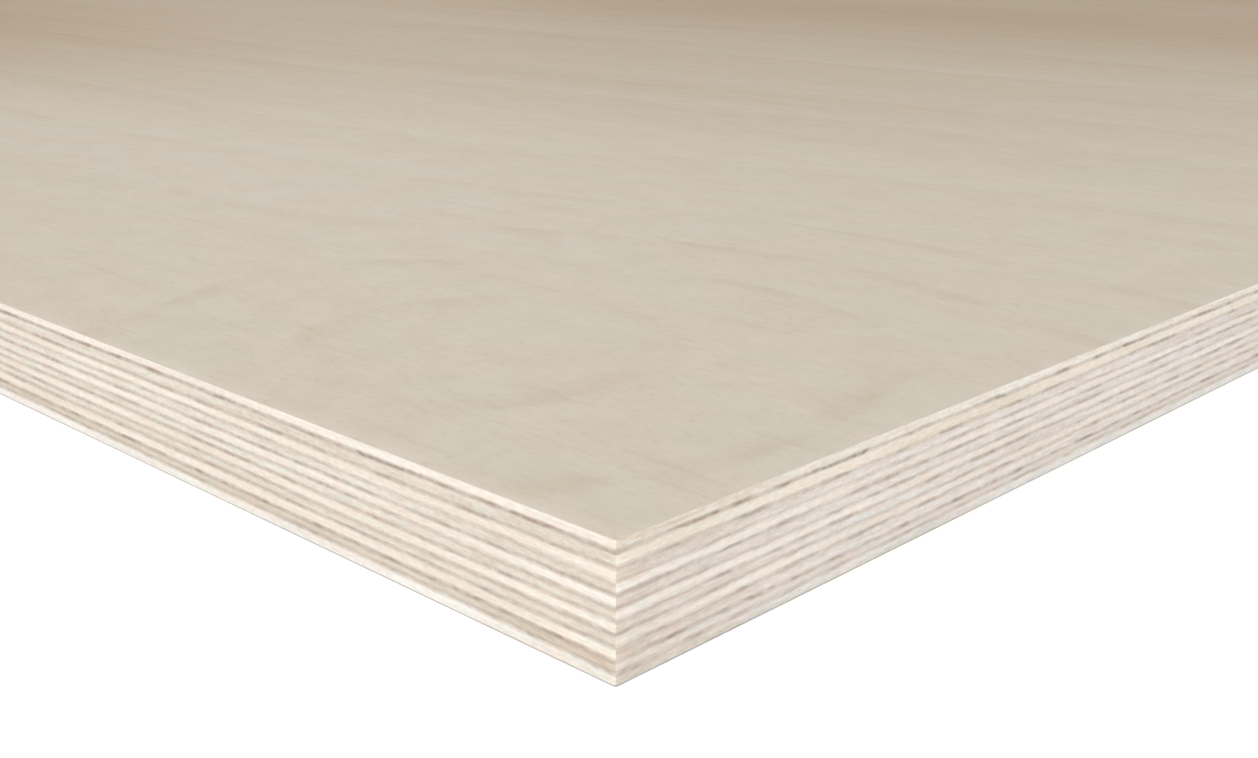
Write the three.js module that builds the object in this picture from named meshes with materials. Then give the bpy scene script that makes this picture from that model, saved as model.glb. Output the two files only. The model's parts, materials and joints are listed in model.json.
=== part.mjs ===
// A full sheet of birch plywood: eleven rotary-cut veneers, each laid across the one below it,
// with a thin film of dark phenolic glue in every joint. The pressed stack is trimmed on a panel
// saw, so its four edges are flat, square and flush from the face to the back.
//
// Millimetres, +Z up. +X is the length of the sheet and the grain of its face, and +Y its width.
// The origin is the middle of the underside, and the sheet lies flat on z = 0.
import * as THREE from 'three';

// Trimmed size
const sheetLength = 2440;
const sheetWidth = 1220;

// One cured glue line
const glueThickness = 0.1;

// The lay-up from the face down. The lathe peels every veneer at about 1.5 mm. The press and the
// sander leave them a little uneven, and these are the finished thicknesses. With the ten glue
// lines they add up to 15 mm.
const veneers = [
  { name: 'face_veneer', thickness: 1.15, grain: 'long' },
  { name: 'crossband_02', thickness: 1.55, grain: 'cross' },
  { name: 'centre_03', thickness: 1.3, grain: 'long' },
  { name: 'crossband_04', thickness: 1.15, grain: 'cross' },
  { name: 'centre_05', thickness: 1.3, grain: 'long' },
  { name: 'crossband_06', thickness: 1.15, grain: 'cross' },
  { name: 'centre_07', thickness: 1.3, grain: 'long' },
  { name: 'crossband_08', thickness: 1.15, grain: 'cross' },
  { name: 'centre_09', thickness: 1.45, grain: 'long' },
  { name: 'crossband_10', thickness: 1.05, grain: 'cross' },
  { name: 'back_veneer', thickness: 1.45, grain: 'long' },
];

// Finishes: sanded birch along its grain, the duller veneers that run across, and the glue
const veneerColours = { long: 0xe8dcc6, cross: 0xd3c5ae };
const veneerRoughness = 0.7;
const glueColour = 0x8a6a50;
const glueRoughness = 0.55;

// The outline that the panel saw leaves, the same for every layer
function trimmedOutline() {
  const outline = new THREE.Shape();
  outline.moveTo(-sheetLength / 2, -sheetWidth / 2);
  outline.lineTo(sheetLength / 2, -sheetWidth / 2);
  outline.lineTo(sheetLength / 2, sheetWidth / 2);
  outline.lineTo(-sheetLength / 2, sheetWidth / 2);
  outline.closePath();
  return outline;
}

// One flat layer of the stack, from its underside to its top
function layer(name, bottom, top, colour, roughness) {
  const geometry = new THREE.ExtrudeGeometry(trimmedOutline(), {
    depth: top - bottom,
    bevelEnabled: false,
  });
  const material = new THREE.MeshStandardMaterial({ color: colour, roughness, metalness: 0 });
  const mesh = new THREE.Mesh(geometry, material);
  mesh.name = name;
  mesh.position.z = bottom;
  return mesh;
}

// Lays the stack on the caul plate: the back veneer first, then glue and veneer in turn
function layUpSheet() {
  const sheet = new THREE.Group();
  const fromBelow = [...veneers].reverse();
  let height = 0;
  fromBelow.forEach((veneer, index) => {
    if (index > 0) {
      const jointNumber = String(veneers.length - index).padStart(2, '0');
      const joint = layer(
        `glue_line_${jointNumber}`,
        height,
        height + glueThickness,
        glueColour,
        glueRoughness,
      );
      sheet.add(joint);
      height += glueThickness;
    }
    const colour = veneerColours[veneer.grain];
    sheet.add(layer(veneer.name, height, height + veneer.thickness, colour, veneerRoughness));
    height += veneer.thickness;
  });
  return sheet;
}

export default layUpSheet();
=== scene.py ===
import json
import math

import bmesh
import bpy
from mathutils import Matrix, Vector


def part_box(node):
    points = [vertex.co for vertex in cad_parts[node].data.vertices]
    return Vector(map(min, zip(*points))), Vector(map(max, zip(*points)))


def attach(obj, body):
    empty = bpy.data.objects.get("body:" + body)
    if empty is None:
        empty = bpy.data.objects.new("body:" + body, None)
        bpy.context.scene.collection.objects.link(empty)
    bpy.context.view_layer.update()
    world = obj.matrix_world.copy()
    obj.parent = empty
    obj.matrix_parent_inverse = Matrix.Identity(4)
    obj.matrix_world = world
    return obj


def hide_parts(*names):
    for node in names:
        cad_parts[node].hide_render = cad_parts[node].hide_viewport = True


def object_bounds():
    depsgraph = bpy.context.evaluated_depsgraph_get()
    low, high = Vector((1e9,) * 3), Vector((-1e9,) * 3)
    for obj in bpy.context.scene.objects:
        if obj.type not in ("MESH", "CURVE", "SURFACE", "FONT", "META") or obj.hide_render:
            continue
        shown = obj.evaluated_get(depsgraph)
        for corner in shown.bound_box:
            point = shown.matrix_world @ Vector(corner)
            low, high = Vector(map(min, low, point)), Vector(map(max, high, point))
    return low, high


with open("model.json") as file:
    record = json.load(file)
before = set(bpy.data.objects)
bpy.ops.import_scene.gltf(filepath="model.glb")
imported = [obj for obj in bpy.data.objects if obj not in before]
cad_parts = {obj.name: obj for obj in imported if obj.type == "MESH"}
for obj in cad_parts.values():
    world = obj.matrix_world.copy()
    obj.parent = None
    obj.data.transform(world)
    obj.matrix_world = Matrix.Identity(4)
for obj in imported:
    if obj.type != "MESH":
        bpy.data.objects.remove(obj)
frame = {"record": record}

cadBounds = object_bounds()
sheetLow, sheetHigh = (Vector(corner) for corner in cadBounds)
sheetMiddle = (sheetLow + sheetHigh) / 2
sheetSize = sheetHigh - sheetLow
nearCorner = Vector((sheetHigh.x, sheetLow.y, sheetLow.z))
mm = 0.001
tolerance = 0.01 * mm  # points nearer than this count as one place
print("sheet loaded:", [round(side / mm, 2) for side in sheetSize], "mm")


# camera

cameraSettings = {
    "fromCorner": (88.44 * mm, -90.61 * mm, 68.77 * mm),  # from the near bottom corner of the sheet
    "turn": 43.805,
    "tilt": -16.851,
    "roll": 0.310,
    "focalPixels": 1500,
    "imagePixels": 1258,
    "sensor": 36,
    "nearest": 4 * mm,
    "farthest": 100,  # in metres
}


def addCamera():
    lens = bpy.data.cameras.new("studioCamera")
    lens.sensor_width = cameraSettings["sensor"]
    lens.lens = cameraSettings["focalPixels"] / cameraSettings["imagePixels"] * cameraSettings["sensor"]
    lens.clip_start = cameraSettings["nearest"]
    lens.clip_end = cameraSettings["farthest"]
    camera = bpy.data.objects.new("studioCamera", lens)
    bpy.context.scene.collection.objects.link(camera)
    camera.matrix_world = (
        Matrix.Translation(nearCorner + Vector(cameraSettings["fromCorner"]))
        @ Matrix.Rotation(math.radians(cameraSettings["turn"]), 4, "Z")
        @ Matrix.Rotation(math.radians(90 + cameraSettings["tilt"]), 4, "X")
        @ Matrix.Rotation(math.radians(cameraSettings["roll"]), 4, "Z")
    )
    bpy.context.scene.camera = camera


addCamera()
print("camera placed")


# helpers for modelling

def selectOnly(piece):
    bpy.ops.object.select_all(action="DESELECT")
    piece.select_set(True)
    bpy.context.view_layer.objects.active = piece


def pick(piece, kind, wanted):
    # in edit mode, selects the faces, edges or vertices that the test says
    bpy.ops.mesh.select_mode(type=kind)
    bpy.ops.mesh.select_all(action="DESELECT")
    cage = bmesh.from_edit_mesh(piece.data)
    for element in {"FACE": cage.faces, "EDGE": cage.edges, "VERT": cage.verts}[kind]:
        if wanted(element):
            element.select_set(True)
    bmesh.update_edit_mesh(piece.data)


def runsAlong(edge, axis):
    step = edge.verts[1].co - edge.verts[0].co
    return step.length - abs(step[axis]) < tolerance


def facesAlong(face, axis):
    return abs(face.normal[axis]) > 0.5


asAround = -1  # the new faces take their neighbours' finish


def rubEdges(width, finish=asAround):
    # rounds the selected edges
    bpy.ops.mesh.bevel(offset=width, segments=2, profile=0.5, affect="EDGES", material=finish)


# the blank that every layer is pressed from

blankSettings = {
    "cells": (32, 16),  # squares of the broad faces
    "cuts": 31,  # in every square's side along the sawn edges, for segments of 2.4 mm
    "rim": 3 * mm,  # how far in from the sawn edges the layers may wave
    "cornerArris": 0.36 * mm,  # the rubbed upright edges at the sheet's four corners
    "thickness": 1,  # one metre, so that a layer is a copy pressed thin
}


def insideBy(point):
    # how far a point lies inside the sawn outline
    return min(sheetSize[axis] / 2 - abs(point[axis] - sheetMiddle[axis]) for axis in (0, 1))


def isCorner(vertex):
    fromMiddle = [abs(vertex.co[axis] - sheetMiddle[axis]) for axis in (0, 1)]
    return all(abs(fromMiddle[axis] - sheetSize[axis] / 2) < tolerance for axis in (0, 1))


def onOutline(vertex):
    # the middles of the rubbed corners lie a little inside it
    return insideBy(vertex.co) < blankSettings["cornerArris"] / 2


def followsOutline(edge):
    # level, and as far in at one end as at the other
    first, second = (vertex.co for vertex in edge.verts)
    isLevel = abs(first.z - second.z) < tolerance
    isInRim = insideBy(first) < blankSettings["rim"] + tolerance
    return isLevel and isInRim and abs(insideBy(first) - insideBy(second)) < tolerance


# the map that pictures of the surface are laid out on, when the pieces go out as a model

mapSettings = {
    "name": "OFBake",
    "margin": 0.01,
    "rowRest": 0.2,  # of a row's height, under the edge that lies in it
    "rowFill": 0.65,
    "edgeReach": 1 * mm,  # faces this near the outline belong to the sawn edge
    "inner": {"rows": 26, "edgeShare": 0.8, "topShare": 0.5},
    "face": {"rows": 12, "edgeShare": 0.2, "topShare": 0.95},
    "back": {"rows": 12, "edgeShare": 0.2, "topShare": 0.05},
}


def nearestSide(point):
    # 0 to 3, round the sheet from its near long edge
    gaps = (point.y - sheetLow.y, sheetHigh.x - point.x, sheetHigh.y - point.y, point.x - sheetLow.x)
    return gaps.index(min(gaps))


def wayRound(point, side):
    length, width = sheetSize.x, sheetSize.y
    return (
        point.x - sheetLow.x,
        length + point.y - sheetLow.y,
        length + width + sheetHigh.x - point.x,
        2 * length + width + sheetHigh.y - point.y,
    )[side]


def layOutMap(piece, plan):
    # the sawn edges lie in rows, and over them the broad faces lie side by side
    s = mapSettings
    mesh = piece.data
    levels = [vertex.co.z for vertex in mesh.vertices]
    low, thickness = min(levels), max(levels) - min(levels)
    rowLength = 2 * (sheetSize.x + sheetSize.y) / plan["rows"]
    rowHeight = plan["edgeShare"] / plan["rows"]
    while mesh.uv_layers:
        mesh.uv_layers.remove(mesh.uv_layers[0])
    spots = mesh.uv_layers.new(name=s["name"]).uv
    for face in mesh.polygons:
        isEdge = insideBy(face.center) < s["edgeReach"]
        side = nearestSide(face.center)
        row = int(wayRound(face.center, side) / rowLength)
        left, right = (0, plan["topShare"]) if face.normal.z > 0 else (plan["topShare"], 1)
        for corner in face.loop_indices:
            point = mesh.vertices[mesh.loops[corner].vertex_index].co
            if isEdge:
                across = (wayRound(point, side) - row * rowLength) / rowLength
                # a softened arris is unrolled past the edge that it belongs to
                rise = (point.z - low) / thickness
                rise += math.copysign(insideBy(point) / thickness, rise - 0.5)
                up = rowHeight * (row + s["rowRest"] + s["rowFill"] * rise)
            else:
                across = left + (right - left) * (point.x - sheetLow.x) / sheetSize.x
                depth = (point.y - sheetLow.y) / sheetSize.y
                up = plan["edgeShare"] + s["margin"] + (1 - plan["edgeShare"] - 2 * s["margin"]) * depth
            spots[corner].vector = (s["margin"] + (1 - 2 * s["margin"]) * across, up)


def makeBlank():
    # as long and wide as the sheet, standing on level zero
    s = blankSettings
    bpy.ops.object.select_all(action="DESELECT")
    bpy.ops.mesh.primitive_grid_add(x_subdivisions=s["cells"][0], y_subdivisions=s["cells"][1], size=1,
                                    location=(sheetMiddle.x, sheetMiddle.y, 0))
    blank = bpy.context.object
    blank.name = "blank"
    blank.scale = (sheetSize.x, sheetSize.y, 1)
    bpy.ops.object.transform_apply(location=True, rotation=True, scale=True)
    bpy.ops.object.mode_set(mode="EDIT")
    bpy.ops.mesh.select_all(action="SELECT")
    bpy.ops.mesh.inset(thickness=s["rim"], depth=0, use_boundary=True)
    bpy.ops.mesh.select_all(action="SELECT")
    bpy.ops.mesh.extrude_region_move(TRANSFORM_OT_translate={"value": (0, 0, s["thickness"])})

    # the four upright arrises
    pick(blank, "EDGE", lambda edge: runsAlong(edge, 2) and isCorner(edge.verts[0]))
    rubEdges(s["cornerArris"])

    # fine segments round the outline and round the inside of the rim
    pick(blank, "EDGE", followsOutline)
    bpy.ops.mesh.subdivide(number_cuts=s["cuts"])
    bpy.ops.mesh.select_all(action="SELECT")
    bpy.ops.mesh.normals_make_consistent(inside=False)

    # the two rings of the sawn outline, which wave with the glue lines
    for name, level in (("lowerRing", 0), ("upperRing", s["thickness"])):
        pick(blank, "VERT", lambda vertex: onOutline(vertex) and abs(vertex.co.z - level) < tolerance)
        blank.vertex_groups.new(name=name)
        bpy.ops.object.vertex_group_assign()

    # three finishes: the broad faces, the long edges and the short edges
    for name in ("broad", "longEdge", "shortEdge"):
        blank.data.materials.append(bpy.data.materials.new(name))
    for index, axis in ((1, 1), (2, 0)):
        pick(blank, "FACE", lambda face: facesAlong(face, axis))
        blank.active_material_index = index
        bpy.ops.object.material_slot_assign()
    bpy.ops.object.mode_set(mode="OBJECT")

    # how far through the layer a point is, from 0 at its underside to 1 at its top
    through = blank.data.attributes.new("throughLayer", "FLOAT", "POINT")
    through.data.foreach_set("value", [vertex.co.z / s["thickness"] for vertex in blank.data.vertices])
    layOutMap(blank, mapSettings["inner"])
    return blank


blank = makeBlank()
print("blank cut:", len(blank.data.polygons), "faces")


# layers

layerSettings = {
    "wave": 0.42 * mm,  # how far a glue line may wander, from peak to peak
    "waveLength": 30 * mm,
    "waveRest": 0.5,  # the level of the noise at which nothing moves
    "swell": 0.32 * mm,  # how much thicker or thinner the glue may be
    "swellLength": 9 * mm,
    "swellRest": 0.42,
    "jointStep": 0.9,  # between the joints' places in the noise, so that no two wave alike
    "faceArris": 0.08 * mm,  # the sander's softening of the outer edges
    "backArris": 0.22 * mm,
    "smoothAngle": 30,
}

arrisSlot = 3  # the back veneer's material slot for its lower arris, whose grey is painted shade

noiseWindow = bpy.data.objects.new("noiseWindow", None)
bpy.context.scene.collection.objects.link(noiseWindow)


def makeCloud(name, size):
    cloud = bpy.data.textures.new(name, "CLOUDS")
    cloud.noise_scale = size
    cloud.noise_depth = 1
    cloud.noise_basis = "IMPROVED_PERLIN"
    return cloud


waveCloud = makeCloud("glueWave", layerSettings["waveLength"])
swellCloud = makeCloud("glueSwell", layerSettings["swellLength"])


def applyDisplace(piece, ring, cloud, strength, rest):
    push = piece.modifiers.new("push", "DISPLACE")
    push.texture = cloud
    push.texture_coords = "OBJECT"
    push.texture_coords_object = noiseWindow
    push.direction = "Z"
    push.vertex_group = ring
    push.strength = strength
    push.mid_level = rest
    selectOnly(piece)
    bpy.ops.object.modifier_apply(modifier=push.name)


def waveRing(piece, ring, joint, side):
    # side is 1 where the ring lies on top of the glue and -1 where it lies under it
    s = layerSettings
    noiseWindow.location = (joint * s["jointStep"], 0, 0)
    bpy.context.view_layer.update()
    applyDisplace(piece, ring, waveCloud, s["wave"], s["waveRest"])
    applyDisplace(piece, ring, swellCloud, side * s["swell"] / 2, s["swellRest"])


def softenArris(piece, level, width, finish):
    # the sharp outer corner of the face or the back, all round
    bpy.ops.object.mode_set(mode="EDIT")
    pick(piece, "EDGE", lambda edge: all(
        onOutline(vertex) and abs(vertex.co.z - level) < tolerance for vertex in edge.verts))
    rubEdges(width, finish)
    bpy.ops.object.mode_set(mode="OBJECT")


def pressLayer(name, node, upperJoint, lowerJoint):
    low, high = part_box(node)
    piece = blank.copy()
    piece.data = blank.data.copy()
    piece.name = name
    piece.data.name = name
    bpy.context.scene.collection.objects.link(piece)
    piece.scale.z = (high[2] - low[2]) / blankSettings["thickness"]
    piece.location.z = low[2]
    selectOnly(piece)
    bpy.ops.object.transform_apply(location=True, rotation=True, scale=True)
    isGlue = upperJoint == lowerJoint
    if upperJoint is not None:
        waveRing(piece, "upperRing", upperJoint, 1 if isGlue else -1)
    if lowerJoint is not None:
        waveRing(piece, "lowerRing", lowerJoint, -1 if isGlue else 1)
    if upperJoint is None:
        softenArris(piece, high[2], layerSettings["faceArris"], asAround)
    if lowerJoint is None:
        piece.data.materials.append(bpy.data.materials.new("lowerArris"))
        softenArris(piece, low[2], layerSettings["backArris"], arrisSlot)
    if upperJoint is None or lowerJoint is None:
        layOutMap(piece, mapSettings["face" if upperJoint is None else "back"])
    selectOnly(piece)
    bpy.ops.object.shade_smooth_by_angle(angle=math.radians(layerSettings["smoothAngle"]))
    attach(piece, "root")
    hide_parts(node)
    return piece


def camelName(node):
    first, *others = node.split("_")
    return first + "".join(word.capitalize() for word in others)


# from the top down: veneer, glue, veneer and so on
slotOf = {part["node"]: part["material_slot"] for part in frame["record"]["subparts"]}
nodesDown = sorted(slotOf, key=lambda node: -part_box(node)[0][2])
layers = {}
for place, node in enumerate(nodesDown):
    isGlue = slotOf[node] == "glue"
    jointAbove = None if place == 0 else (place + (1 if isGlue else 0)) // 2
    jointBelow = None if place == len(nodesDown) - 1 else (place + (1 if isGlue else 2)) // 2
    layers[node] = pressLayer(camelName(node), node, jointAbove, jointBelow)
    print("pressed", layers[node].name, "between joints", jointAbove, "and", jointBelow)

bpy.data.objects.remove(blank)
bpy.data.objects.remove(noiseWindow)
print("layers pressed:", len(layers))


# helpers for node trees

def feed(tree, socket, value):
    if isinstance(value, bpy.types.NodeSocket):
        tree.links.new(value, socket)
    else:
        socket.default_value = value


def addMath(tree, operation, *values, clamp=False):
    node = tree.nodes.new("ShaderNodeMath")
    node.operation = operation
    node.use_clamp = clamp
    for socket, value in zip(node.inputs, values):
        feed(tree, socket, value)
    return node.outputs[0]


def addVector(tree, operation, *values):
    node = tree.nodes.new("ShaderNodeVectorMath")
    node.operation = operation
    for socket, value in zip(node.inputs, values):
        feed(tree, socket, value)
    return node.outputs[0]


def addNoise(tree, vector, lengths, detail=2, roughness=0.5):
    # lengths are the sizes of the noise's blobs along and across, in metres
    stretched = addVector(tree, "MULTIPLY", vector, (1 / lengths[0], 1 / lengths[1], 0))
    node = tree.nodes.new("ShaderNodeTexNoise")
    node.noise_dimensions = "2D"
    feed(tree, node.inputs["Vector"], stretched)
    node.inputs["Scale"].default_value = 1
    node.inputs["Detail"].default_value = detail
    node.inputs["Roughness"].default_value = roughness
    return node.outputs["Fac"]


def addShift(tree, vector, steps, step):
    # moves to another part of the noise
    node = tree.nodes.new("ShaderNodeVectorMath")
    node.operation = "SCALE"
    feed(tree, node.inputs["Vector"], step)
    feed(tree, node.inputs["Scale"], steps)
    return addVector(tree, "ADD", vector, node.outputs[0])


def addRange(tree, value, low, high, newLow=0, newHigh=1, kind="SMOOTHSTEP"):
    # from one pair of levels to another
    node = tree.nodes.new("ShaderNodeMapRange")
    node.interpolation_type = kind
    feed(tree, node.inputs["Value"], value)
    for label, number in (("From Min", low), ("From Max", high), ("To Min", newLow), ("To Max", newHigh)):
        feed(tree, node.inputs[label], number)
    return node.outputs["Result"]


def marking(along, across, comesIn, share=1, detail=2, roughness=0.5, kind="LINEAR"):
    # a noise with blobs of this length and width, the levels between which it comes in, and how much
    # it darkens
    return {"size": (along, across), "comesIn": comesIn, "share": share,
            "detail": detail, "roughness": roughness, "kind": kind}


def addMarkNoise(tree, vector, mark):
    return addNoise(tree, vector, mark["size"], mark["detail"], mark["roughness"])


def addMask(tree, vector, mark, rest=0):
    low, high = mark["comesIn"]
    return addRange(tree, addMarkNoise(tree, vector, mark), low, high, rest, 1, mark["kind"])


def addMarkings(tree, vector, marks, shade):
    for mark in marks:
        shade = addMath(tree, "MULTIPLY_ADD", addMask(tree, vector, mark), mark["share"], shade)
    return shade


def addMix(tree, share, first, second, blend="MIX"):
    node = tree.nodes.new("ShaderNodeMix")
    node.data_type = "RGBA"
    node.blend_type = blend
    feed(tree, node.inputs["Factor"], share)
    feed(tree, node.inputs[6], first)
    feed(tree, node.inputs[7], second)
    return node.outputs[2]


def newGroup(name, inputs, outputs):
    # inputs are (label, kind, default) and outputs (label, kind)
    group = bpy.data.node_groups.new(name, "ShaderNodeTree")
    for label, kind, default in inputs:
        socket = group.interface.new_socket(label, in_out="INPUT", socket_type="NodeSocket" + kind)
        if default is not None:
            socket.default_value = default
    for label, kind in outputs:
        group.interface.new_socket(label, in_out="OUTPUT", socket_type="NodeSocket" + kind)
    given = group.nodes.new("NodeGroupInput")
    result = group.nodes.new("NodeGroupOutput")
    return group, given.outputs, result.inputs


def placeGroup(tree, group, **values):
    # a value's name is its socket's label with the spaces left out
    node = tree.nodes.new("ShaderNodeGroup")
    node.node_tree = group
    sockets = {socket.name.replace(" ", ""): socket for socket in node.inputs}
    for name, value in values.items():
        feed(tree, sockets[name], value)
    return node.outputs


# birch veneer seen from above, as the lathe peels it

figureSettings = {
    "ringStep": 75 * mm,  # growth rings follow one another across the sheet at about this distance
    "swell": (900 * mm, 160 * mm, 2.2),  # along, across and how many rings high
    "ripple": (200 * mm, 36 * mm, 0.5),
    "ragged": (12 * mm, 1.2 * mm, 0.03),
    "hillPlace": (1162 * mm, -575 * mm),  # a swelling in the log, cut through as nested ovals
    "hillSize": (58 * mm, 72 * mm),
    "hillRings": -2.35,
    "ringsElsewhere": 0.45,  # how strongly rings show away from the swelling
    "hillShare": 0.3,  # from this share of its height up, the swelling shows them fully
    "darkens": (0.74, 0.92),  # shares of a ring's width between which its dark line comes in
    "clears": (0.94, 1.0),
}


def makeFigureGroup():
    # a relief of growth rings is cut level, and its contour lines are the figure
    s = figureSettings
    group, given, result = newGroup(
        "peeledFigure",
        [("Vector", "Vector", None), ("Place", "Vector", None), ("Hill", "Float", 0.0)],
        [("Ring", "Float"), ("Band", "Float")],
    )
    split = group.nodes.new("ShaderNodeSeparateXYZ")
    feed(group, split.inputs[0], given["Vector"])
    height = addMath(group, "DIVIDE", split.outputs["Y"], s["ringStep"])
    for name, detail in (("swell", 1), ("ripple", 1), ("ragged", 0)):
        along, across, rings = s[name]
        noise = addNoise(group, given["Vector"], (along, across), detail=detail)
        height = addMath(group, "MULTIPLY_ADD", noise, rings, height)
    fromHill = addVector(group, "SUBTRACT", given["Place"], (*s["hillPlace"], 0))
    fromHill = addVector(group, "MULTIPLY", fromHill, (1 / s["hillSize"][0], 1 / s["hillSize"][1], 0))
    squared = group.nodes.new("ShaderNodeVectorMath")
    squared.operation = "DOT_PRODUCT"
    feed(group, squared.inputs[0], fromHill)
    feed(group, squared.inputs[1], fromHill)
    hill = addMath(group, "POWER", math.e, addMath(group, "MULTIPLY", squared.outputs["Value"], -1))
    hillRings = addMath(group, "MULTIPLY", given["Hill"], s["hillRings"])
    height = addMath(group, "MULTIPLY_ADD", hill, hillRings, height)
    phase = addMath(group, "FRACT", height)
    darkens = addRange(group, phase, *s["darkens"])
    clears = addRange(group, phase, *s["clears"], 1, 0)
    onHill = addMath(group, "MULTIPLY", hill, given["Hill"])
    shows = addRange(group, onHill, 0, s["hillShare"], s["ringsElsewhere"], 1)
    ring = addMath(group, "MULTIPLY", addMath(group, "MULTIPLY", darkens, clears), shows)
    feed(group, result["Ring"], ring)
    feed(group, result["Band"], phase)
    return group


faceSettings = {
    "seedStep": (1.37, 0.83, 0),  # how far a seed of 1 moves the pattern
    "pale": (0.670, 0.618, 0.533, 1),
    "shade": (0.420, 0.346, 0.258, 1),
    "pink": (0.688, 0.595, 0.519, 1),
    "green": (0.638, 0.628, 0.533, 1),
    "tint": marking(30 * mm, 16 * mm, (0.36, 0.64)),  # where it's green and not pink
    "tintPlace": (0.3, 0.7, 0),
    "tintShare": 0.29,
    "ring": 0.06,
    "ringTint": (1.0, 0.945, 0.900, 1),
    "ringTintShare": 0.52,
    "breaks": marking(38 * mm, 16 * mm, (0.46, 0.60), detail=1, kind="SMOOTHSTEP"),  # where rings show
    "breakPlace": (-1.38, 0.672, 0),
    "breakRest": 0.1,
    "band": 0.025,
    "mottle": marking(12 * mm, 7 * mm, (0.3, 0.7), 0.115, detail=3, roughness=0.65),
    "fibre": marking(22 * mm, 0.4 * mm, (0.25, 0.75), 0.025, roughness=0.6),
    "fleck": marking(2.8 * mm, 1.3 * mm, (0.3, 0.75), 0.105, roughness=0.6),
    "speck": marking(1.5 * mm, 0.8 * mm, (0.66, 0.80), 0.16, detail=1, kind="SMOOTHSTEP"),
    "streak": marking(45 * mm, 1.8 * mm, (0.66, 0.82), 0.10, detail=1, kind="SMOOTHSTEP"),
}

# the darker wood nearer the log's middle, which drifts in and out over the whole sheet; it is placed so
# that it also darkens the wood farther from the near corner, which is painted shade
heartAndShadeSettings = {
    "color": (0.80, 0.70, 0.59, 1),  # multiplies the paler wood's
    # placed so that the drift darkens the sheet away from the near corner: partly wood tone, partly
    # painted shade
    "place": (7.45, -2.0, 0),
    "size": (3.4, 1.0),
    "comesIn": (0.33, 0.59),
    "rings": 0.012,  # how far its border follows the growth rings, and its own flames and streaks
    "flames": (420 * mm, 40 * mm, 0.06),
    "streaks": (130 * mm, 5 * mm, 0.03),
}


def makeHeartAndShadeGroup():
    s = heartAndShadeSettings
    group, given, result = newGroup(
        "heartWood",
        [("Vector", "Vector", None), ("Place", "Vector", None), ("Band", "Float", 0.0)],
        [("Heart", "Float")],
    )
    drift = addNoise(group, addVector(group, "ADD", given["Place"], s["place"]), s["size"], detail=1)
    band = addMath(group, "SUBTRACT", given["Band"], 0.5)
    drift = addMath(group, "MULTIPLY_ADD", band, s["rings"], drift)
    for name in ("flames", "streaks"):
        along, across, share = s[name]
        border = addMath(group, "SUBTRACT", addNoise(group, given["Vector"], (along, across)), 0.5)
        drift = addMath(group, "MULTIPLY_ADD", border, share, drift)
    feed(group, result["Heart"], addRange(group, drift, *s["comesIn"]))
    return group


def makeFaceGroup(figure, heart):
    s = faceSettings
    group, given, result = newGroup(
        "birchFace",
        [("Vector", "Vector", None), ("Seed", "Float", 0.0), ("Hill", "Float", 0.0)],
        [("Color", "Color"), ("Height", "Float")],
    )
    place = addShift(group, given["Vector"], given["Seed"], s["seedStep"])
    rings = placeGroup(group, figure, Vector=place, Place=given["Vector"], Hill=given["Hill"])
    breaks = addVector(group, "ADD", given["Vector"], s["breakPlace"])
    rim = addMath(group, "MULTIPLY", rings["Ring"], addMask(group, breaks, s["breaks"], s["breakRest"]))

    shade = addMath(group, "MULTIPLY", rim, s["ring"])
    shade = addMath(group, "MULTIPLY_ADD", rings["Band"], s["band"], shade)
    marks = [s[name] for name in ("mottle", "fibre", "fleck", "speck", "streak")]
    shade = addMarkings(group, place, marks, shade)
    tint = addMask(group, addVector(group, "ADD", place, s["tintPlace"]), s["tint"])
    tinted = addMix(group, tint, s["pink"], s["green"])
    wood = addMix(group, shade, addMix(group, s["tintShare"], s["pale"], tinted), s["shade"])
    rimWood = addMix(group, 1.0, wood, s["ringTint"], blend="MULTIPLY")
    wood = addMix(group, addMath(group, "MULTIPLY", rim, s["ringTintShare"]), wood, rimWood)
    # darker heartwood, which also paints the shade that falls off away from the near corner
    dark = placeGroup(group, heart, Vector=place, Place=given["Vector"], Band=rings["Band"])["Heart"]
    feed(group, result["Color"], addMix(group, dark, wood, heartAndShadeSettings["color"], blend="MULTIPLY"))
    feed(group, result["Height"], addMarkNoise(group, place, s["fibre"]))
    return group


# sawn edges: the wood along the grain, the wood across it, the glue and what it stains

glueSettings = {
    "dark": (0.322, 0.274, 0.220, 1),
    "faint": (0.780, 0.700, 0.620, 1),
    "dash": marking(6.5 * mm, 1.3 * mm, (0.44, 0.66), kind="SMOOTHSTEP"),  # strong lengths and weak ones
    "bead": marking(1.2 * mm, 0.6 * mm, (0.35, 0.65), detail=1, kind="SMOOTHSTEP"),  # beads within them
    "beadRest": 0.7,
    "least": (0.62, 0.40),  # how strong a weak length still is, on the long edges and on the short ones
    "stainReach": 0.43,  # in millimetres from the glue
    "stain": (0.380, 0.330, 0.305, 1),
    "rust": (0.430, 0.325, 0.250, 1),
    # of each joint, from the top down
    "strength": (1.14, 0.91, 0.65, 0.80, 0.73, 0.82, 0.81, 0.82, 1.02, 0.73),
    "shortEdgeShare": 0.90,
}


def makeAlongGroup():
    # the way round the sheet's edge becomes one length, so that noise runs on it as on a strip
    group, given, result = newGroup(
        "alongEdge",
        [("Vector", "Vector", None), ("Seed", "Float", 0.0)],
        [("Strip", "Vector")],
    )
    split = group.nodes.new("ShaderNodeSeparateXYZ")
    feed(group, split.inputs[0], given["Vector"])
    length = addMath(group, "SUBTRACT", split.outputs["X"], split.outputs["Y"])
    strip = group.nodes.new("ShaderNodeCombineXYZ")
    feed(group, strip.inputs["X"], addMath(group, "ADD", length, given["Seed"]))
    feed(group, strip.inputs["Y"], split.outputs["Z"])
    feed(group, result["Strip"], strip.outputs[0])
    return group


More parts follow.
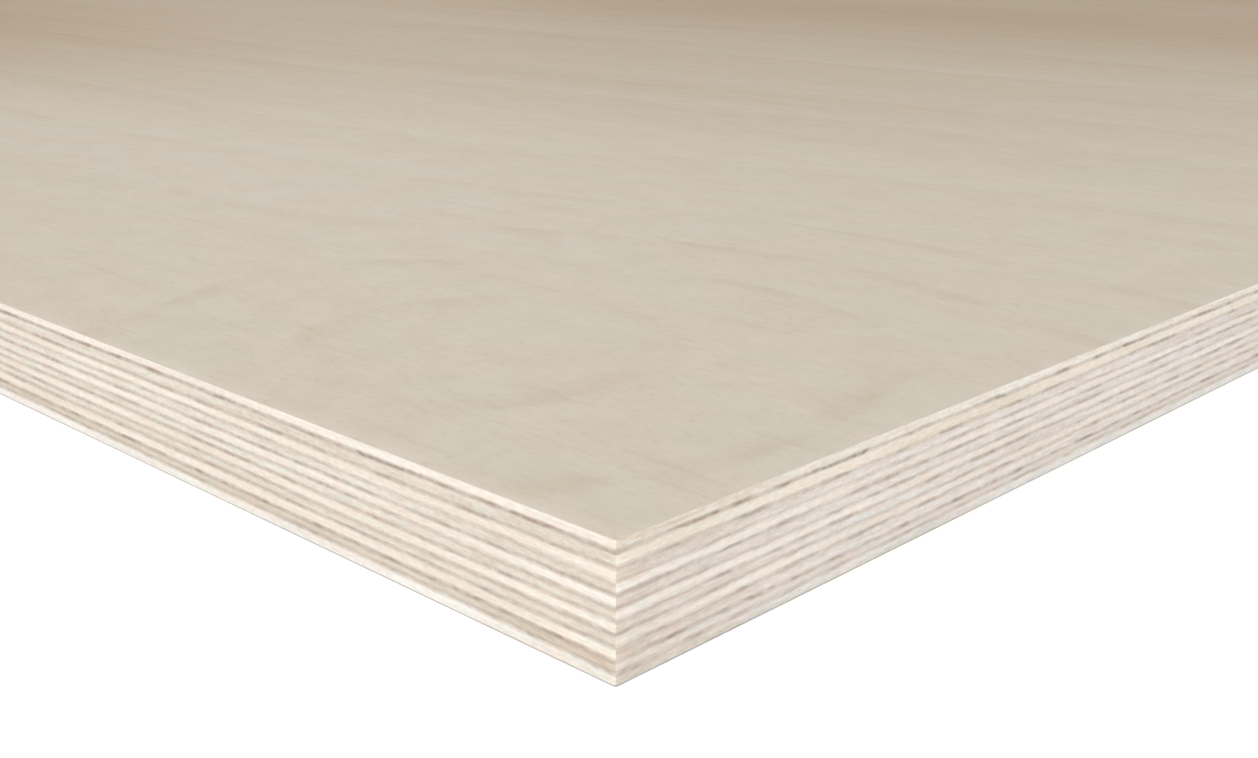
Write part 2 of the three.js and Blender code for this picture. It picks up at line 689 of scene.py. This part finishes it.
def makeDashGroup():
    s = glueSettings
    group, given, result = newGroup(
        "glueDashes", [("Strip", "Vector", None), ("Least", "Float", 0.5)], [("Dash", "Float")])
    dash = addMask(group, given["Strip"], s["dash"], given["Least"])
    bead = addMask(group, given["Strip"], s["bead"], s["beadRest"])
    feed(group, result["Dash"], addMath(group, "MULTIPLY", dash, bead))
    return group


def makeStainGroup(dashes):
    # how strongly the glue shows through the wood at its own edge of the veneer
    s = glueSettings
    group, given, result = newGroup(
        "glueStain",
        [("Strip", "Vector", None), ("Through", "Float", 0.5), ("Thickness", "Float", 1.3),
         ("Glue Above", "Float", 1.0), ("Glue Below", "Float", 1.0), ("Least", "Float", 0.5)],
        [("Stain", "Float")],
    )
    dash = placeGroup(group, dashes, Strip=given["Strip"], Least=given["Least"])["Dash"]
    fromBelow = addMath(group, "MULTIPLY", given["Through"], given["Thickness"])
    fromAbove = addMath(group, "SUBTRACT", given["Thickness"], fromBelow)
    below = addRange(group, fromBelow, 0, s["stainReach"], 1, 0)
    above = addRange(group, fromAbove, 0, s["stainReach"], 1, 0)
    below = addMath(group, "MULTIPLY", below, given["Glue Below"])
    above = addMath(group, "MULTIPLY", above, given["Glue Above"])
    both = addMath(group, "MAXIMUM", below, above)
    feed(group, result["Stain"], addMath(group, "MULTIPLY", both, dash))
    return group


edgeSettings = {
    "shade": (0.62, 0.50, 0.39, 1),  # what the markings multiply the wood's colour by
    "pink": (1.030, 0.980, 0.960, 1),
    "green": (0.980, 1.008, 1.005, 1),
    "tint": marking(5 * mm, 0.9 * mm, (0.32, 0.68), detail=3, roughness=0.65),  # green and not pink
    "grit": marking(1.4 * mm, 0.35 * mm, (0.25, 0.75), 0.30, roughness=0.7),
    "line": marking(24 * mm, 0.22 * mm, (0.3, 0.75), 0.16, roughness=0.6),
    "drift": marking(30 * mm, 3 * mm, (0.35, 0.7), 0.16, kind="SMOOTHSTEP"),
    "pore": marking(0.22 * mm, 0.16 * mm, (0.35, 0.75), 0.14, detail=1),
    "blotch": marking(5 * mm, 0.8 * mm, (0.3, 0.7), 0.22, detail=3, roughness=0.6),
    "tone": marking(45 * mm, 1.1 * mm, (0.42, 0.66), 0.14, detail=1, kind="SMOOTHSTEP"),
}


def makeSawnGroup(name, marks):
    # the first of the markings is also the relief
    s = edgeSettings
    group, given, result = newGroup(
        name,
        [("Strip", "Vector", None), ("Wood", "Color", None), ("Stain", "Float", 0.0),
         ("Soil", "Float", 0.0)],
        [("Color", "Color"), ("Height", "Float")],
    )
    strip = given["Strip"]
    shade = addMarkings(group, strip, [s[mark] for mark in (*marks, "grit")], 0)
    shade = addMath(group, "ADD", shade, given["Soil"])
    tint = addMask(group, strip, s["tint"])
    wood = addMix(group, 1.0, given["Wood"], addMix(group, tint, s["pink"], s["green"]), blend="MULTIPLY")
    shaded = addMix(group, 1.0, wood, s["shade"], blend="MULTIPLY")
    stain = addMix(group, tint, glueSettings["rust"], glueSettings["stain"])
    wood = addMix(group, shade, wood, shaded)
    feed(group, result["Color"], addMix(group, given["Stain"], wood, stain))
    feed(group, result["Height"], addMarkNoise(group, strip, s[marks[0]]))
    return group


soilSettings = {
    "reach": 30 * mm,  # from each upright corner
    "share": (0.14, 0.28),  # how dirty the end grain gets on the long edges and on the short ones
}


def makeSoilGroup():
    # hands and floors soil the end grain most beside the sheet's upright corners
    group, given, result = newGroup(
        "cornerSoil", [("Vector", "Vector", None), ("Share", "Float", 0.0)], [("Soil", "Float")])
    split = group.nodes.new("ShaderNodeSeparateXYZ")
    feed(group, split.inputs[0], given["Vector"])
    fromCorner = (sheetSize.x + sheetSize.y) / 2
    for axis in ("X", "Y"):
        fromMiddle = addMath(group, "ABSOLUTE", split.outputs[axis])
        fromCorner = addMath(group, "SUBTRACT", fromCorner, fromMiddle)
    near = addRange(group, fromCorner, 0, soilSettings["reach"], 1, 0, kind="LINEAR")
    feed(group, result["Soil"], addMath(group, "MULTIPLY", near, given["Share"]))
    return group


faceGroup = makeFaceGroup(makeFigureGroup(), makeHeartAndShadeGroup())
alongGroup = makeAlongGroup()
dashGroup = makeDashGroup()
stainGroup = makeStainGroup(dashGroup)
# along its grain the wood is pale and smooth, with thin lines that run the way of the edge, and across
# its grain it's pored, with blotches
longGrainGroup = makeSawnGroup("sawnAlongGrain", ("line", "drift"))
endGrainGroup = makeSawnGroup("sawnAcrossGrain", ("pore", "blotch", "tone"))
soilGroup = makeSoilGroup()


# materials

woodColors = {
    "white": (0.914, 0.918, 0.903, 1),
    "ivory": (0.895, 0.862, 0.820, 1),
    "cream": (0.880, 0.845, 0.785, 1),
    "lightCream": (0.935, 0.900, 0.825, 1),
    "chalk": (0.950, 0.926, 0.890, 1),
    "dullChalk": (0.830, 0.795, 0.757, 1),
    "greenCream": (0.811, 0.792, 0.741, 1),
    "straw": (0.838, 0.832, 0.785, 1),
    "warmAsh": (0.965, 0.962, 0.930, 1),
    "greyAsh": (0.898, 0.890, 0.885, 1),
    "paleAsh": (0.925, 0.945, 0.955, 1),
    "pinkAsh": (0.913, 0.902, 0.896, 1),
    "brown": (0.730, 0.695, 0.633, 1),
    # painted shade: the grey of the back veneer's lower arris stands in for the shadow where the sheet
    # meets the floor
    "dusty": (0.500, 0.490, 0.475, 1),
}

# how each veneer looks on the sheet's long edges and on its short edges
veneerLooks = {
    "face_veneer": ("ivory", "warmAsh"),
    "crossband_02": ("greenCream", "lightCream"),
    "centre_03": ("cream", "pinkAsh"),
    "crossband_04": ("straw", "chalk"),
    "centre_05": ("ivory", "greyAsh"),
    "crossband_06": ("straw", "chalk"),
    "centre_07": ("cream", "greyAsh"),
    "crossband_08": ("greenCream", "chalk"),
    "centre_09": ("cream", "pinkAsh"),
    "crossband_10": ("brown", "dullChalk"),
    "back_veneer": ("white", "paleAsh"),
}


finishSettings = {
    "face": {"roughness": 0.78, "specular": 0.04, "relief": 0.03 * mm, "reliefShare": 0.5},
    "inner": {"roughness": 0.8, "specular": 0.1},
    "sawn": {"roughness": 0.8, "specular": 0.1, "relief": 0.04 * mm, "reliefShare": 0.6},
    "glue": {"roughness": 0.6, "specular": 0.3},
    "paper": {"roughness": 0.9, "specular": 0.0},
}

seedSettings = {"first": 3.0, "step": 5.0}  # metres between the veneers' places in the noise


def newMaterial(name, finish):
    s = finishSettings[finish]
    material = bpy.data.materials.new(name)
    material.use_nodes = True
    shader = material.node_tree.nodes["Principled BSDF"]
    shader.inputs["Roughness"].default_value = s["roughness"]
    shader.inputs["Specular IOR Level"].default_value = s["specular"]
    return material, shader


def addPlace(tree):
    return tree.nodes.new("ShaderNodeTexCoord").outputs["Object"]


def dressShader(tree, shader, finish, wood):
    s = finishSettings[finish]
    bump = tree.nodes.new("ShaderNodeBump")
    bump.inputs["Distance"].default_value = s["relief"]
    bump.inputs["Strength"].default_value = s["reliefShare"]
    feed(tree, bump.inputs["Height"], wood["Height"])
    feed(tree, shader.inputs["Normal"], bump.outputs["Normal"])
    feed(tree, shader.inputs["Base Color"], wood["Color"])


def makeFaceMaterial(name, seed, hill):
    material, shader = newMaterial(name, "face")
    tree = material.node_tree
    wood = placeGroup(tree, faceGroup, Vector=addPlace(tree), Seed=seed, Hill=hill)
    dressShader(tree, shader, "face", wood)
    return material


def makeInnerMaterial():
    # the broad faces inside the sheet are never seen
    material, shader = newMaterial("innerFace", "inner")
    shader.inputs["Base Color"].default_value = woodColors["straw"]
    return material


def makeSawnMaterial(name, group, wood, seed, thickness, glue=(0.0, 0.0), least=0.5, soil=0.0):
    # glue is how strong the joints above and below look, and least how strong their weak lengths are
    material, shader = newMaterial(name, "sawn")
    tree = material.node_tree
    place = addPlace(tree)
    through = tree.nodes.new("ShaderNodeAttribute")
    through.attribute_name = "throughLayer"
    strip = placeGroup(tree, alongGroup, Vector=place, Seed=seed)["Strip"]
    glueStrip = placeGroup(tree, alongGroup, Vector=place)["Strip"]
    stain = placeGroup(tree, stainGroup, Strip=glueStrip, Through=through.outputs["Fac"],
                       Thickness=thickness, GlueAbove=glue[0], GlueBelow=glue[1], Least=least)
    soiled = placeGroup(tree, soilGroup, Vector=place, Share=soil)["Soil"]
    wood = placeGroup(tree, group, Strip=strip, Wood=wood, Stain=stain["Stain"], Soil=soiled)
    dressShader(tree, shader, "sawn", wood)
    return material


def makeGlueMaterial(name, strength, least):
    s = glueSettings
    material, shader = newMaterial(name, "glue")
    tree = material.node_tree
    strip = placeGroup(tree, alongGroup, Vector=addPlace(tree))["Strip"]
    dash = placeGroup(tree, dashGroup, Strip=strip, Least=least)["Dash"]
    darkness = addMath(tree, "MULTIPLY", dash, strength)
    feed(tree, shader.inputs["Base Color"], addMix(tree, darkness, s["faint"], s["dark"]))
    return material


# the sawn edges' material slots, their names, and how strong the glue looks there
sawnEdges = ((1, "LongEdge", 1), (2, "ShortEdge", glueSettings["shortEdgeShare"]))


def dressGlue(piece, strength):
    for slot, edge, share in sawnEdges:
        least = glueSettings["least"][slot - 1]
        film = makeGlueMaterial(piece.name + edge, strength * share, least)
        piece.material_slots[slot].material = film
    piece.material_slots[0].material = piece.material_slots[1].material


def dressVeneer(piece, node, layer, above, below):
    low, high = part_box(node)
    thickness = (high[2] - low[2]) / mm
    seed = seedSettings["first"] + seedSettings["step"] * layer
    if slotOf[node] == "outer_veneer":
        hill = 1.0 if layer == 0 else 0.0
        piece.material_slots[0].material = makeFaceMaterial(piece.name + "Broad", seed, hill)
    else:
        piece.material_slots[0].material = innerMaterial
    # the grain turns from each veneer to the next
    groups = (longGrainGroup, endGrainGroup) if layer % 2 == 0 else (endGrainGroup, longGrainGroup)
    for slot, edge, share in sawnEdges:
        look = slot - 1
        soil = soilSettings["share"][look] if groups[look] == endGrainGroup else 0.0
        piece.material_slots[slot].material = makeSawnMaterial(
            piece.name + edge, groups[look], woodColors[veneerLooks[node][look]], seed, thickness,
            (above * share, below * share), glueSettings["least"][look], soil)
    # the back veneer's lower arris is painted grey as shade, where the sheet meets the floor
    if len(piece.material_slots) > arrisSlot:
        piece.material_slots[arrisSlot].material = makeSawnMaterial(
            piece.name + "Arris", endGrainGroup, woodColors["dusty"], seed, thickness)


innerMaterial = makeInnerMaterial()
strengths = (0.0, *glueSettings["strength"], 0.0)  # no glue above the face and none below the back
for place, node in enumerate(nodesDown):
    layer = place // 2
    if slotOf[node] == "glue":
        dressGlue(layers[node], strengths[layer + 1])
    else:
        dressVeneer(layers[node], node, layer, strengths[layer], strengths[layer + 1])

print("materials made")


# floor, world and lamps

studioSettings = {
    "floorSize": 40,
    "floorDrop": 0.05 * mm,
    "floorColor": (0.80, 0.80, 0.80, 1),
    "floorGlow": 0.49,  # seen by the camera only, so that the unshadowed floor is white
    "skyColor": (1.02, 1.0, 0.97, 1),
    "skyLevel": 0.64,
    "white": (1, 1, 1, 1),
}

lampSettings = {
    "key": {"place": (2.12, -2.12, 1.1), "aim": (0.95, -0.45, 0.0), "size": 1.4, "watts": 30},
    "backFill": {"place": (-2.7, 2.1, 0.6), "aim": (-1.0, 0.45, 0.0), "size": 1.4, "watts": 24},
}


def addFloor():
    bpy.ops.object.select_all(action="DESELECT")
    bpy.ops.mesh.primitive_plane_add(size=studioSettings["floorSize"],
                                     location=(0, 0, sheetLow.z - studioSettings["floorDrop"]))
    floor = bpy.context.object
    floor.name = "floor"
    material, shader = newMaterial("floorPaper", "paper")
    tree = material.node_tree
    shader.inputs["Base Color"].default_value = studioSettings["floorColor"]
    shader.inputs["Emission Color"].default_value = studioSettings["white"]
    rays = tree.nodes.new("ShaderNodeLightPath")
    glow = addMath(tree, "MULTIPLY", rays.outputs["Is Camera Ray"], studioSettings["floorGlow"])
    feed(tree, shader.inputs["Emission Strength"], glow)
    floor.data.materials.append(material)


def addWorld():
    # a plain white background, and a dimmer sky that lights the sheet
    s = studioSettings
    world = bpy.data.worlds.new("studioSky")
    bpy.context.scene.world = world
    world.use_nodes = True
    tree = world.node_tree
    sky = tree.nodes["Background"]
    rays = tree.nodes.new("ShaderNodeLightPath")
    seen = addMath(tree, "MAXIMUM", rays.outputs["Is Camera Ray"], rays.outputs["Is Glossy Ray"])
    seen = addMath(tree, "MAXIMUM", seen, rays.outputs["Is Transmission Ray"])
    feed(tree, sky.inputs["Color"], addMix(tree, seen, s["skyColor"], s["white"]))
    feed(tree, sky.inputs["Strength"], addRange(tree, seen, 0, 1, s["skyLevel"], 1, kind="LINEAR"))


def addLamp(name, place, aim, size, watts):
    lamp = bpy.data.lights.new(name, "AREA")
    lamp.shape = "DISK"
    lamp.size = size
    lamp.energy = watts
    holder = bpy.data.objects.new(name, lamp)
    bpy.context.scene.collection.objects.link(holder)
    holder.visible_camera = False
    holder.location = place
    holder.rotation_euler = (Vector(aim) - Vector(place)).to_track_quat("-Z", "Y").to_euler()


addFloor()
addWorld()
for lampName, values in lampSettings.items():
    addLamp(lampName, **values)
bpy.context.scene.view_settings.view_transform = "Standard"
print("studio lit")
